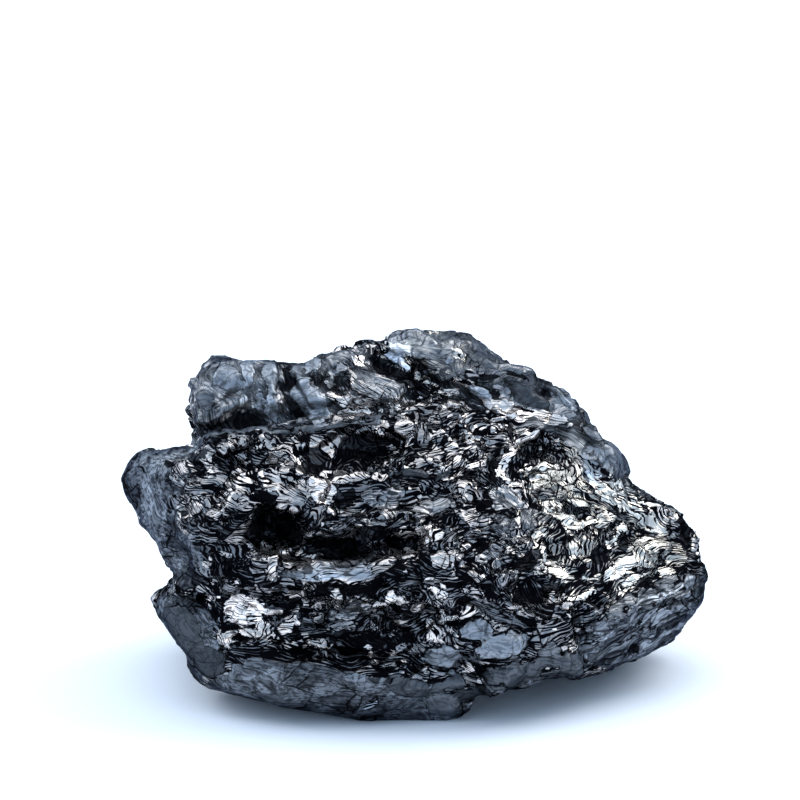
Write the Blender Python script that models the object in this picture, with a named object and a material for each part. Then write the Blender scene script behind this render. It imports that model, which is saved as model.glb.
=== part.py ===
"""Shungite stone: one broken lump of glassy black carbon rock, standing on its own flat.

Metres, +Z up. X runs along the stone, its best face looks to -Y, and the
origin is under the middle of the stone, at the surface that it stands on.

The stone is roughed out like a mason's block. Two masses, a long front one and
a higher rear one, each have three outlines: the face, the plan and the side.
A fine ball is blown up from a point inside both until each of its vertices meets
the outer of the two masses. Cleavage planes take off the corners, and the block
is worn, hollowed and broken into small facets before its foot is made flat.
"""

import math
from itertools import product

import bmesh
import bpy
import numpy as np
from mathutils import Vector, noise

MM = 0.001

# The face outlines are drawn square to a line of sight that looks down by this angle.
SIGHT_TILT = math.radians(14)
SIGHT = Vector((0, math.cos(SIGHT_TILT), -math.sin(SIGHT_TILT)))
SIGHT_UP = Vector((0, math.sin(SIGHT_TILT), math.cos(SIGHT_TILT)))
ACROSS = Vector((1, 0, 0))
BACK = Vector((0, 1, 0))
UP = Vector((0, 0, 1))

# The point inside both masses from which the stone is blown up.
HEART = Vector((-1.0, 20.0, 17.0)) * MM

# Outlines in millimetres. Face: (across, up, square to the line of sight).
FRONT_FACE = [
    (-34.6, 25.4), (-33.4, 23.9), (-29.8, 19.4), (-28.3, 17.0), (-27.3, 15.1),
    (-29.6, 14.3), (-31.0, 13.0), (-30.2, 10.8), (-27.3, 7.2), (-25.2, 4.0),
    (-18.5, 1.6), (-13.0, 0.6), (3.0, -0.6), (7.6, 1.4), (11.6, 2.6),
    (18.6, 5.0), (23.0, 5.2), (27.0, 6.4), (30.0, 8.6), (33.2, 11.2),
    (35.0, 13.6), (35.3, 17.0), (34.0, 20.2), (31.2, 22.4), (28.3, 25.0),
    (24.9, 28.0), (17.2, 32.4), (12.4, 35.0), (3.1, 35.7), (-13.0, 34.3),
    (-25.3, 31.9), (-31.2, 30.9), (-33.4, 30.0), (-34.8, 28.0),
]
REAR_FACE = [
    (-24.0, 14.0), (-14.0, 4.0), (12.0, 6.0), (22.0, 14.0), (25.8, 27.4),
    (25.5, 29.8), (22.2, 32.7), (20.5, 35.4), (17.0, 38.5), (12.8, 40.0),
    (9.9, 41.6), (7.4, 44.3), (5.7, 45.3), (0.2, 45.5), (-2.5, 44.8),
    (-4.8, 43.2), (-8.5, 43.0), (-11.2, 42.0), (-14.6, 40.9), (-18.3, 41.3),
    (-24.2, 41.8), (-26.4, 40.1), (-26.8, 37.0), (-26.0, 31.6),
]

# Plan: (across, back).
FRONT_PLAN = [
    (-36.0, 15.0), (-31.5, 6.0), (-22.0, 0.0), (-11.0, -3.0), (3.0, -3.5),
    (14.0, -2.0), (26.0, 3.5), (36.4, 14.0), (35.5, 24.0), (24.0, 32.0),
    (0.0, 34.0), (-26.0, 31.0), (-35.5, 24.0),
]
REAR_PLAN = [
    (-22.0, 12.0), (22.0, 12.0), (27.0, 26.0), (25.0, 36.0), (13.0, 43.0),
    (-2.0, 45.0), (-17.0, 42.0), (-27.0, 35.0), (-28.5, 24.0),
]

# Side: (back, up).
FRONT_SIDE = [
    (27.0, -1.0), (33.0, 8.0), (34.5, 18.0), (30.0, 28.0), (19.0, 32.6),
    (9.5, 33.8), (4.0, 29.5), (-1.0, 23.0), (-3.2, 16.0), (-3.6, 9.0),
    (-2.2, 3.0), (1.0, -1.0),
]
REAR_SIDE = [
    (12.0, 3.0), (34.0, 2.0), (42.5, 11.0), (44.5, 22.0), (41.0, 33.0),
    (34.0, 40.2), (28.5, 41.2), (24.0, 39.0), (19.6, 33.0), (12.0, 14.0),
]

# Cleavage planes of the front mass: a point on each, and the way it faces.
FRONT_CLEAVAGES = [
    ((17.0, 20.0, 30.0), (0.48, -0.54, 0.69)),  # bright cheek
    ((27.0, 6.5, 9.0), (0.62, -0.66, -0.42)),  # ribbed flank under the cheek
    ((-31.5, 10.0, 20.0), (-0.80, -0.56, 0.2)),  # left nose
]

# Cleavage planes of the rear mass, all at its back.
REAR_CLEAVAGES = [
    ((10.0, 37.0, 30.0), (0.42, 0.72, 0.55)),
    ((-17.0, 38.0, 20.0), (-0.50, 0.84, 0.20)),
    ((4.0, 41.0, 9.0), (0.10, 0.80, -0.60)),
]

# Hollows (+) and bosses (-) of the face, in millimetres and degrees:
# across, up, half-width, half-height, turn, depth along the line of sight.
RELIEF = [
    (-15.6, 22.2, 3.3, 2.2, 0, 4.6),  # deep socket
    (-5.0, 20.4, 9.5, 1.6, 3, 2.4),  # groove beside the socket
    (-6.5, 16.9, 11.5, 2.0, 4, -1.2),  # shelf under the groove
    (-10.0, 11.2, 11.0, 2.9, -6, 2.0),  # crushed band
    (-11.5, 4.6, 11.5, 3.8, -3, -1.3),  # rounded rind at the foot
    (-11.5, 34.7, 14.0, 0.7, 7.5, 1.4),  # crevice between the two masses
    (-5.5, 31.0, 5.5, 2.2, 5, 2.2),  # hollow under the crest
    (0.0, 28.6, 6.0, 0.9, 4, -0.8),  # lip
    (-15.0, 27.0, 5.5, 2.6, -12, -0.9),  # pale plates
    (13.6, 15.0, 2.6, 1.8, 0, 2.2),  # small socket
    (9.0, 9.6, 4.6, 2.8, -8, -1.1),  # smooth boss
    (18.9, 10.6, 0.9, 3.0, 6, 2.6),  # upright crack
    (-26.0, 17.2, 2.2, 2.4, 0, 2.6),  # corner of the notch
    (3.0, 6.8, 5.0, 1.4, -14, 1.3),  # slanting gash
    (14.8, 29.4, 2.8, 2.4, 30, 1.1),  # shallow cup at the crest
    (-21.9, 39.0, 2.2, 2.0, 0, -0.9),  # round pod at the left of the rear mass
    (-19.0, 39.0, 1.0, 2.8, 4, -0.9),  # row of upright pods
    (-16.6, 38.8, 1.2, 3.0, 8, -0.9),
    (-16.0, 35.4, 1.3, 2.2, 16, -0.8),
    (-13.9, 37.4, 0.8, 3.2, 20, 0.9),  # groove beside the largest pod
    (-11.4, 36.8, 2.3, 3.6, 26, -1.3),  # largest pod
    (-8.2, 38.4, 0.8, 2.8, 34, 0.8),
    (-4.4, 37.8, 4.4, 1.9, -36, -1.0),  # slanting pod
    (1.6, 39.0, 6.8, 1.2, -28, 1.8),  # slanting groove of the rear mass
    (13.0, 36.4, 4.0, 1.2, -16, 1.0),
]

# Calm patches, where the stone is worn smooth instead of broken:
# across, up, half-width, half-height, turn, share of the breakage taken away.
CALM = [
    (-31.0, 25.5, 6.5, 7.5, 20, 0.9),  # left nose
    (-27.0, 9.5, 4.5, 6.0, -20, 0.7),  # lobe under the notch
    (-10.0, 4.0, 15.0, 4.0, -3, 0.7),  # rind at the foot
    (-8.0, 16.9, 11.0, 2.0, 4, 0.5),  # shelf
    (-11.5, 33.7, 15.0, 1.5, 7.5, 0.85),  # straight crest
    (-16.0, 38.6, 11.5, 4.6, 0, 0.85),  # pods of the rear mass
    (22.0, 20.0, 12.0, 11.0, -35, 0.5),  # bright cheek
    (34.5, 17.0, 3.5, 6.5, 0, 0.8),  # right tip
    (27.0, 9.0, 9.0, 4.0, 30, 0.6),  # ribbed flank
]

# Beds: flat layers that break back in steps all round the stone.
BED_DIP = Vector((0.10, -0.22, 1.0)).normalized()
BED_THICKNESS = 4.6 * MM
BED_STEP = 0.65 * MM

# Wear and breakage.
SKIN = 0.8 * MM  # left off the outlines, because breakage stands out by as much
BALL_ROUNDS = 7
WEAR_ROUNDS = 6
SHARDS = [(9.0 * MM, 0.06, 0.20), (4.2 * MM, 0.055, 0.22)]  # size, step, tilt
GRAIN = 0.22 * MM
GRAIN_SIZE = 3.0 * MM
TRIANGLES = 9400
FOOT_SPARE = 0.06 * MM

STONE_BLACK = (0.055, 0.060, 0.070, 1.0)


def clear_scene():
    for obj in list(bpy.data.objects):
        bpy.data.objects.remove(obj, do_unlink=True)


def ball():
    """A fine ball of radius 1 m round the heart, as an object."""
    bm = bmesh.new()
    bmesh.ops.create_icosphere(bm, subdivisions=BALL_ROUNDS, radius=1.0)
    mesh = bpy.data.meshes.new("shungite_stone")
    bm.to_mesh(mesh)
    bm.free()
    obj = bpy.data.objects.new("shungite_stone", mesh)
    bpy.context.scene.collection.objects.link(obj)
    return obj


def reach_in_outline(directions, outline, across, up):
    """How far each direction runs from the heart before it leaves the outline's prism."""
    heading = np.stack([directions @ np.array(across), directions @ np.array(up)], axis=1)
    start = np.array([HEART.dot(across), HEART.dot(up)])
    corners = np.array(outline) * MM
    nearest = np.full(len(directions), np.inf)
    for corner, side in zip(corners, np.roll(corners, -1, axis=0) - corners):
        offset = corner - start
        crossing = heading[:, 0] * side[1] - heading[:, 1] * side[0]
        crossing[np.abs(crossing) < 1e-12] = 1e-12
        distance = (offset[0] * side[1] - offset[1] * side[0]) / crossing
        share = (offset[0] * heading[:, 1] - offset[1] * heading[:, 0]) / crossing
        met = (distance > 0) & (share >= 0) & (share <= 1)
        nearest = np.where(met, np.minimum(nearest, distance), nearest)
    return nearest


def reach_to_plane(directions, point, facing):
    """How far each direction runs from the heart before it meets the plane."""
    facing = Vector(facing).normalized()
    towards = directions @ np.array(facing)
    distance = (Vector(point) * MM - HEART).dot(facing)
    return np.where(towards > 1e-6, distance / np.maximum(towards, 1e-6), np.inf)


def reach_in_mass(directions, face, plan, side, planes):
    """How far each direction runs inside all of a mass's outlines and planes."""
    limits = [
        reach_in_outline(directions, face, ACROSS, SIGHT_UP),
        reach_in_outline(directions, plan, ACROSS, BACK),
        reach_in_outline(directions, side, BACK, UP),
    ]
    limits += [reach_to_plane(directions, point, facing) for point, facing in planes]
    return np.minimum.reduce(limits)


def rough_out(obj):
    """Blow the ball up until it fills the outer of the two masses."""
    directions = read_vectors(obj.data.vertices, "co")
    front = reach_in_mass(directions, FRONT_FACE, FRONT_PLAN, FRONT_SIDE, FRONT_CLEAVAGES)
    rear = reach_in_mass(directions, REAR_FACE, REAR_PLAN, REAR_SIDE, REAR_CLEAVAGES)
    places = np.array(HEART) + directions * (np.maximum(front, rear) - SKIN)[:, None]
    obj.data.vertices.foreach_set("co", places.astype(np.float32).ravel())
    obj.data.update()


def apply_modifiers(obj):
    """Make what the modifiers show the object's own mesh."""
    graph = bpy.context.evaluated_depsgraph_get()
    shown = bpy.data.meshes.new_from_object(obj.evaluated_get(graph))
    obj.modifiers.clear()
    obj.data = shown


def wear(obj, rounds):
    """Round the corners over."""
    smooth = obj.modifiers.new("Smooth", "SMOOTH")
    smooth.factor = 0.5
    smooth.iterations = rounds
    apply_modifiers(obj)


def read_vectors(items, name):
    """One (count, 3) array of a mesh's vertex places or normals."""
    flat = np.empty(len(items) * 3, np.float32)
    items.foreach_get(name, flat)
    return flat.reshape(-1, 3).astype(float)


def displace(obj, shift, *settings):
    """Move every vertex by shift(places, normals, ...)."""
    places = read_vectors(obj.data.vertices, "co")
    normals = read_vectors(obj.data.vertex_normals, "vector")
    moved = places + shift(places, normals, *settings)
    obj.data.vertices.foreach_set("co", moved.astype(np.float32).ravel())
    obj.data.update()


def patches(places, table):
    """Each patch of a table as a soft oval, 1 in its middle and 0 outside it."""
    across, up = places[:, 0] / MM, places @ np.array(SIGHT_UP) / MM
    for x, v, half_width, half_height, turn, amount in table:
        angle = math.radians(turn)
        a, b = across - x, up - v
        along = (a * math.cos(angle) + b * math.sin(angle)) / half_width
        over = (b * math.cos(angle) - a * math.sin(angle)) / half_height
        yield amount * np.exp(-((along**2 + over**2) ** 2))


def relief(places, normals):
    """The named hollows and bosses, on what faces the line of sight."""
    facing = np.clip(-2 * normals @ np.array(SIGHT), 0, 1)
    depth = sum(patches(places, RELIEF)) * MM
    return np.array(SIGHT) * (depth * facing)[:, None]


def breakage(places, normals):
    """How broken the stone is at each place: 1, and less on the calm patches."""
    facing = np.clip(0.6 - 3 * normals @ np.array(SIGHT), 0, 1)
    return 1 - facing * np.minimum(1, sum(patches(places, CALM)))


def chance(cells, salt):
    """A fixed number from 0 to 1 for each cell of whole numbers."""
    mixed = cells[:, 0] * 73856093 ^ cells[:, 1] * 19349663 ^ cells[:, 2] * 83492791
    mixed = (mixed ^ salt * 2654435761) & 0xFFFFFFFF
    mixed = ((mixed ^ mixed >> 15) * 2246822519) & 0xFFFFFFFF
    mixed = ((mixed ^ mixed >> 13) * 3266489917) & 0xFFFFFFFF
    return (mixed ^ mixed >> 16) / 2**32


def beds(places, normals):
    """Steps where the beds break: each bed stands a little in or out of the next."""
    wave = [noise.noise(Vector(place)) for place in places / (14 * MM)]
    height = (places @ np.array(BED_DIP) + 1.6 * MM * np.array(wave)) / BED_THICKNESS
    bed = np.floor(height)
    blend = np.clip((height - bed) / 0.25, 0, 1)
    cells = np.repeat(bed.astype(int)[:, None], 3, axis=1)
    step = chance(cells - 1, 5) * (1 - blend) + chance(cells, 5) * blend - 0.5
    side = 1 - np.abs(normals @ np.array(BED_DIP))
    return normals * (step * side * 2 * BED_STEP * breakage(places, normals))[:, None]


def shards(places, normals, size, step, tilt):
    """Break the surface into flat pieces: each cell is shifted and tilted as one."""
    spots = places / size + 0.2 * np.sin(places[:, [1, 2, 0]] / size * 1.9)
    nearest = np.full(len(spots), np.inf)
    middle = np.zeros_like(spots)
    owner = np.zeros(spots.shape, int)
    for offset in product((-1, 0, 1), repeat=3):
        cells = np.floor(spots).astype(int) + offset
        centre = cells + np.stack([chance(cells, salt) for salt in (1, 2, 3)], axis=1)
        distance = np.linalg.norm(spots - centre, axis=1)
        closer = distance < nearest
        nearest[closer] = distance[closer]
        middle[closer] = centre[closer]
        owner[closer] = cells[closer]
    slope = np.stack([chance(owner, salt) - 0.5 for salt in (6, 7, 8)], axis=1)
    lift = step * (2 * chance(owner, 4) - 1) + tilt * 2 * np.sum(slope * (spots - middle), axis=1)
    return normals * (lift * size * breakage(places, normals))[:, None]


def grain(places, normals):
    """Rough crust over everything."""
    rough = [noise.fractal(Vector(place), 0.9, 2.1, 4) for place in places / GRAIN_SIZE]
    return normals * (np.array(rough) * GRAIN * breakage(places, normals))[:, None]


def thin_out(obj, triangles):
    """Keep about this many triangles, where the shape needs them."""
    obj.data.calc_loop_triangles()
    decimate = obj.modifiers.new("Decimate", "DECIMATE")
    decimate.ratio = triangles / len(obj.data.loop_triangles)
    decimate.use_collapse_triangulate = True
    apply_modifiers(obj)


def flatten_foot(obj, level):
    """Draw what lies below the level back towards the heart, on to the level."""
    for vertex in obj.data.vertices:
        if vertex.co.z < level:
            share = (HEART.z - level) / (HEART.z - vertex.co.z)
            vertex.co = HEART + (vertex.co - HEART) * share
            vertex.co.z = level
    obj.data.update()


def stand_on_origin(obj):
    """Move the mesh so that the middle of its box is over the origin."""
    xs = [v.co.x for v in obj.data.vertices]
    ys = [v.co.y for v in obj.data.vertices]
    middle = Vector(((min(xs) + max(xs)) / 2, (min(ys) + max(ys)) / 2, 0))
    for vertex in obj.data.vertices:
        vertex.co -= middle
    obj.data.update()
    print("moved by", [round(c / MM, 3) for c in middle])


def shungite():
    material = bpy.data.materials.new("shungite")
    material.use_nodes = True
    shader = material.node_tree.nodes["Principled BSDF"]
    shader.inputs["Base Color"].default_value = STONE_BLACK
    shader.inputs["Roughness"].default_value = 0.32
    shader.inputs["Metallic"].default_value = 0.6
    return material


def build_stone():
    stone = ball()
    rough_out(stone)
    wear(stone, WEAR_ROUNDS)
    displace(stone, relief)
    displace(stone, beds)
    for size, step, tilt in SHARDS:
        displace(stone, shards, size, step, tilt)
    displace(stone, grain)
    flatten_foot(stone, -FOOT_SPARE)
    thin_out(stone, TRIANGLES)
    flatten_foot(stone, 0.0)
    stand_on_origin(stone)
    stone.data.materials.append(shungite())
    return stone


clear_scene()
build_stone()
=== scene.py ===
# %% [markdown]
# # A raw shungite stone
# Shungite is a carbon rock. Broken fresh, it is black with a silvery, nearly
# metallic shine: hundreds of small glassy flakes, each tilted its own way, with dull
# black cracks between them. Where the stone has rubbed smooth, it is an even
# blue-grey. This lesson dresses a plain solid of the stone in that surface. The
# solid keeps its place and its size. A finer skin goes over it, its chips and flakes
# are cut as real shape, and a finish of nodes then colours them.

# %% Load the solid
import math

import bmesh
import bpy
import numpy as np
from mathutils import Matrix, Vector


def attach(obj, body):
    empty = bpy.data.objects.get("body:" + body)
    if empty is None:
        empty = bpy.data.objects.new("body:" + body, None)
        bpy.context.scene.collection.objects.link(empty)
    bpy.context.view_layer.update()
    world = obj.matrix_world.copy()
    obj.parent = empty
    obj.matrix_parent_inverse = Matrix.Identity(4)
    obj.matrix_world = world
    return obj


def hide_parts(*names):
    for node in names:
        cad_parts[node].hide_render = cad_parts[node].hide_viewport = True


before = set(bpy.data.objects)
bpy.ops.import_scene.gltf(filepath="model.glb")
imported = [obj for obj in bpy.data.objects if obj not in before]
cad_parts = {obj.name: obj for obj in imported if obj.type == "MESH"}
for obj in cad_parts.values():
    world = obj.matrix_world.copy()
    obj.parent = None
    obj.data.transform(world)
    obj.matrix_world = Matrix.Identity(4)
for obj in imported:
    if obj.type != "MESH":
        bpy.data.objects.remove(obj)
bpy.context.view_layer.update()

MM = 0.001

# %% [markdown]
# ## The camera
# The stone is looked at from a little above, with a long lens, as a small thing is
# in a studio. The camera could come last. It comes first here because the face that
# it sees gets names for its places: so far across and so far up, square to the line
# of sight. Every oval, flake and crest line of the lesson ends up in those two
# numbers, in millimetres.

# %% Camera and line of sight
SIGHT_TILT = math.radians(14)
SIGHT = np.array([0, math.cos(SIGHT_TILT), -math.sin(SIGHT_TILT)])
SIGHT_UP = np.array([0, math.sin(SIGHT_TILT), math.cos(SIGHT_TILT)])
ACROSS = np.array([1.0, 0, 0])
FACE_ORIGIN = np.array([-0.16, -19.77, 0]) * MM  # where across and up are both 0
CAMERA_DISTANCE = 400 * MM
FRAME_WIDTH = 92.72 * MM  # what the frame shows across, at the stone
FRAME_MIDDLE = (-1.5, 36.4, 10)  # across, up and into the face, in mm

lens = bpy.data.cameras.new("camera")
lens.sensor_width = 36
lens.lens = lens.sensor_width * CAMERA_DISTANCE / FRAME_WIDTH
camera = bpy.data.objects.new("camera", lens)
bpy.context.scene.collection.objects.link(camera)
bpy.context.scene.camera = camera
aim = FACE_ORIGIN + np.array(FRAME_MIDDLE) @ np.stack([ACROSS, SIGHT_UP, SIGHT]) * MM
camera.location = aim - SIGHT * CAMERA_DISTANCE
camera.rotation_mode = "QUATERNION"
camera.rotation_quaternion = Vector(SIGHT).to_track_quat("-Z", "Y")
print("lens:", round(lens.lens, 1), "mm, aimed at", (aim / MM).round(1), "mm")

# %% [markdown]
# ## A fine skin over the solid
# The solid has large flat faces, too few to carry flakes. A ball of two parameters
# blown up to the solid would leave its steep ledges with almost no points, and a
# subdivision would round its corners and keep its long thin triangles. A voxel
# remesh gives the same small cell everywhere, in the ledges and sockets too. The
# copy's loose triangles are merged first, so that it is one closed surface, and the
# solid itself is left alone.

# %% Mesh helpers
def read_vectors(items, name):
    """One (count, 3) array of a mesh's vertex places or normals."""
    flat = np.empty(len(items) * 3, np.float32)
    items.foreach_get(name, flat)
    return flat.reshape(-1, 3).astype(float)


def write_places(mesh, places):
    """Put a (count, 3) array back into the mesh's vertices."""
    mesh.vertices.foreach_set("co", places.astype(np.float32).ravel())
    mesh.update()


def new_piece(name, mesh):
    """An object at the origin that shows this mesh."""
    piece = bpy.data.objects.new(name, mesh)
    bpy.context.scene.collection.objects.link(piece)
    return piece


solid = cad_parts["shungite_stone"]
solid_places = read_vectors(solid.data.vertices, "co")
print("solid:", len(solid_places), "points, highest", round(solid_places[:, 2].max() / MM, 1), "mm")

# %% Remeshed copy
SKIN_CELL = 0.396 * MM


def remeshed(name, source, cell):
    """A merged copy of the source object, rebuilt from cubes of this size."""
    work = bmesh.new()
    work.from_mesh(source.data)
    bmesh.ops.remove_doubles(work, verts=work.verts, dist=0.001 * MM)
    mesh = bpy.data.meshes.new(name)
    work.to_mesh(mesh)
    work.free()
    piece = new_piece(name, mesh)
    voxels = piece.modifiers.new("Remesh", "REMESH")
    voxels.mode = "VOXEL"
    voxels.voxel_size = cell
    graph = bpy.context.evaluated_depsgraph_get()
    fine = bpy.data.meshes.new_from_object(piece.evaluated_get(graph))
    piece.modifiers.clear()
    piece.data = fine
    return piece


skin = remeshed("stone_skin", solid, SKIN_CELL)
print("skin:", len(skin.data.vertices), "points,", 2 * len(skin.data.polygons), "triangles")

# %% [markdown]
# ## Chance and ripples
# Nothing in a stone is regular, yet the lesson has to give the same stone each time.
# A random generator would do that only while every draw keeps its order. Here each
# cell of space has its own number instead, mixed from the cell's whole numbers, so
# it looks random and never changes. Ripples are those numbers eased from cell to
# cell, and a crust is ripples on ripples.

# %% Chance
def chance(cells, salt):
    """A fixed number from 0 to 1 for each cell: its three numbers, multiplied and mixed."""
    mixed = cells[:, 0] * 73856093 ^ cells[:, 1] * 19349663 ^ cells[:, 2] * 83492791
    mixed = (mixed ^ salt * 2654435761) & 0xFFFFFFFF
    mixed = ((mixed ^ mixed >> 15) * 2246822519) & 0xFFFFFFFF
    mixed = ((mixed ^ mixed >> 13) * 3266489917) & 0xFFFFFFFF
    return (mixed ^ mixed >> 16) / 2**32


row_of_cells = np.stack([np.arange(1000), np.zeros(1000, int), np.zeros(1000, int)], axis=1)
print("mean chance of 1000 cells:", round(chance(row_of_cells, 1).mean(), 3))

# %% Ripples
def ripple(places, size, salt):
    """Smooth noise from -1 to 1: the chances of a cell's eight corners, eased between them."""
    spots = places / size
    cells = np.floor(spots).astype(int)
    ease = spots - cells
    ease = ease * ease * (3 - 2 * ease)
    total = 0
    for corner in np.ndindex(2, 2, 2):
        share = np.prod(np.where(corner, ease, 1 - ease), axis=1)
        total = total + share * chance(cells + np.array(corner), salt)
    return 2 * total - 1


def crust(places, size, salt, rounds=4):
    """Ripples on ripples: each round is half as large and half as strong."""
    return sum(ripple(places, size / 2**n, salt + n) / 2**n for n in range(rounds))


def wander(places, size, far):
    """Places moved a little by three ripples, so that what is drawn on them bends."""
    return places + far * np.stack([ripple(places, size, salt) for salt in (31, 32, 33)], axis=1)


sample_crust = crust(row_of_cells * 0.37, 1.0, 1)
print("a crust runs from", round(sample_crust.min(), 2), "to", round(sample_crust.max(), 2))

# %% [markdown]
# ## Shards
# A broken carbon rock is a pile of small flat faces, each a little higher or lower
# than the next. Soft noise alone would give hills. So space is cut into cells round
# jittered centres, and each cell gets a flat slope of its own. The face breaks along
# the same lines that a crack would take between grains.

# %% Shards
CRACK_WIDTH = 0.22  # in cells


def shards(places, size, step, tilt, salt):
    """Lift of a surface broken into flat pieces, and how near each place is to a crack.

    Space is cut into cells round jittered centres, and each place belongs to the
    nearest. Its lift is the cell's own step plus the cell's own slope times the way
    from the cell's centre. The crack is 1 where two centres are equally near.
    """
    spots = places / size
    nearest = np.full(len(spots), np.inf)
    second = np.full(len(spots), np.inf)
    middle = np.zeros_like(spots)
    owner = np.zeros(spots.shape, int)
    for offset in np.ndindex(3, 3, 3):
        cells = np.floor(spots).astype(int) + np.array(offset) - 1
        centre = cells + np.stack([chance(cells, salt + n) for n in range(3)], axis=1)
        distance = np.linalg.norm(spots - centre, axis=1)
        closer = distance < nearest
        second = np.where(closer, nearest, np.minimum(second, distance))
        nearest = np.where(closer, distance, nearest)
        middle[closer] = centre[closer]
        owner[closer] = cells[closer]
    slope = np.stack([chance(owner, salt + n) - 0.5 for n in (3, 4, 5)], axis=1)
    lift = step * (2 * chance(owner, salt + 6) - 1)
    lift = lift + tilt * 2 * np.sum(slope * (spots - middle), axis=1)
    crack = np.clip(1 - (second - nearest) / CRACK_WIDTH, 0, 1)
    return lift * size, crack


sample_cracks = shards(row_of_cells * 0.37, 1.0, 0.1, 0.1, 1)[1]
print("in a crack:", round(100 * np.mean(sample_cracks > 0)), "% of a row of places")

# %% [markdown]
# ## Named places of the face
# The face is not the same all over. It has a bright cheek, a smooth nose, a smooth
# rind at the foot, a crushed band, and sockets, hollows and grooves that are painted
# dark as shade, with a few dull black spots besides. They could be painted on a
# picture, but a picture would have to be wrapped on and has a size at which it
# blurs. Here each place is a soft oval: so far across, so far up, its half-width,
# its half-height, its turn and its strength. A list of ovals is easy to read and to
# correct, and the finish tears their edges so that no oval shows.

# %% Ovals on the face
FACING_STEEP = 3  # how fast an oval ends where the surface turns away
SEEN_WRAP = 0.3


def on_face(places):
    """How far across and how far up the face each place is, in mm: two dot products."""
    reach = (places - FACE_ORIGIN) / MM
    return reach @ ACROSS, reach @ SIGHT_UP


def in_oval(across, up, x, v, half_width, half_height, turn):
    """The way along an oval and over it, in its half-widths: the place, turned by its angle."""
    angle = math.radians(turn)
    along = ((across - x) * math.cos(angle) + (up - v) * math.sin(angle)) / half_width
    over = ((up - v) * math.cos(angle) - (across - x) * math.sin(angle)) / half_height
    return along, over


def facing(normals, wrap):
    """1 where the surface faces the camera and 0 where it faces away.

    The cosine to the line of sight is made steep, moved by wrap and cut to 0 and 1, so
    more wrap reaches further round the stone's edge.
    """
    return np.clip(-FACING_STEEP * normals @ SIGHT + wrap, 0, 1)


def patches(places, normals, table, wrap=SEEN_WRAP):
    """The strongest of the table's ovals at each place, 0 where the surface faces away.

    An oval is its strength times e to the minus fourth power of the place's radius in
    it, so it is flat in the middle.
    """
    across, up = on_face(places)
    strongest = np.zeros(len(places))
    for x, v, half_width, half_height, turn, strength in table:
        along, over = in_oval(across, up, x, v, half_width, half_height, turn)
        oval = strength * np.exp(-((along**2 + over**2) ** 2))
        strongest = np.maximum(strongest, oval)
    return strongest * facing(normals, wrap)


aim_across, aim_up = on_face(aim[None, :])
print("the camera aims", aim_across.round(1), "mm across and", aim_up.round(1), "mm up the face")

# %% [markdown]
# ## From the camera's frame to the face
# Most ovals are easiest to place by looking through the camera, whose frame is 800
# pixels wide and high. They stay written as they were placed: so many pixels across
# and down the frame. The lens shows near things larger, so the front mass, the crest
# and the rear mass each have a scale of their own. Ovals that were added on the face
# are in millimetres from the start.

# %% Millimetres from pixels
FRAME_PIXELS = 800
FRONT_SCALE = 8.94  # pixels to a millimetre on the front mass
CREST_SCALE = 8.77  # along the crest
REAR_SCALE = 8.54  # on the rear mass, which is the furthest


def in_mm(rows, scale):
    """Rows of across, down, half-width and half-height in pixels, as mm on the face.

    A place is its pixels from the frame's middle, over the scale, added to the place
    that the camera aims at. A half-width is its pixels over the scale. All are
    rounded to a tenth of a millimetre, and the other columns stay.
    """
    aim_x, aim_v, _ = FRAME_MIDDLE
    middle = FRAME_PIXELS / 2
    return [
        (
            round((across - middle) / scale + aim_x, 1),
            round(aim_v + (middle - down) / scale, 1),
            round(half_width / scale, 1),
            round(half_height / scale, 1),
            *others,
        )
        for across, down, half_width, half_height, *others in rows
    ]


print("the frame's corner is at", in_mm([(0, 0, 0, 0)], FRONT_SCALE)[0][:2], "mm on the front")

# %% Smooth, dusty and bright places
# seen: across, down, half-width, half-height in pixels, turn in degrees, strength
# added: across, up, half-width, half-height in mm, turn in degrees, strength
CALM_SEEN = [
    (180, 560, 22, 34, 35, 1),  # nose, lower edge
    (180, 640, 34, 52, 28, 1),  # lobe under the notch
    (330, 700, 150, 36, -3, 1),  # rind at the foot
    (340, 568, 72, 11, 4, 0.6),  # shelf
]
REAR_CALM_SEEN = [(612, 450, 26, 34, -40, 0.8)]  # right end of the rear mass
CALM_ADDED = [
    (-30.8, 25.6, 4.2, 6.4, 28, 1),  # left nose
    (27.3, 11.0, 9.3, 3.9, 32, 1),  # ribbed flank
    (-28.0, 30.9, 5.0, 1.1, 16, 0.9),  # top edge of the nose
    (-23.0, 41.3, 2.4, 1.4, 0, 0.9),  # left corner of the rear mass
    (12.5, 4.6, 5.5, 1.6, 8, 0.9),  # between the foot and the flank
]
CALM = in_mm(CALM_SEEN, FRONT_SCALE) + in_mm(REAR_CALM_SEEN, REAR_SCALE) + CALM_ADDED
DUSTY = [
    (-17.7, 37.8, 10.0, 4.6, 0, 1),  # back wall of the pods
    (-6.0, 38.4, 4.6, 3.0, -30, 0.9),  # slanting pods
    (-8.5, 41.0, 3.0, 1.6, 15, 1),  # over them
    (13.0, 37.0, 13.0, 4.5, -36, 1),  # right slope of the rear mass
]
WORN_PALE = [
    (-31.5, 25.0, 5.0, 7.0, 28, 0.8),  # nose
]
BRIGHT_SEEN = [
    (607, 537, 102, 66, -38, 1),  # cheek
    (540, 468, 26, 34, 20, 1),  # cup at the crest
]
REAR_BRIGHT_SEEN = [
    (430, 350, 48, 21, 8, 1),  # summit of the rear mass
    (412, 374, 34, 5, -32, 1),  # edge of the rear groove
]
BRIGHT = in_mm(BRIGHT_SEEN, FRONT_SCALE) + in_mm(REAR_BRIGHT_SEEN, REAR_SCALE)
print("smooth", len(CALM), "dusty", len(DUSTY), "pale", len(WORN_PALE), "bright", len(BRIGHT))
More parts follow.
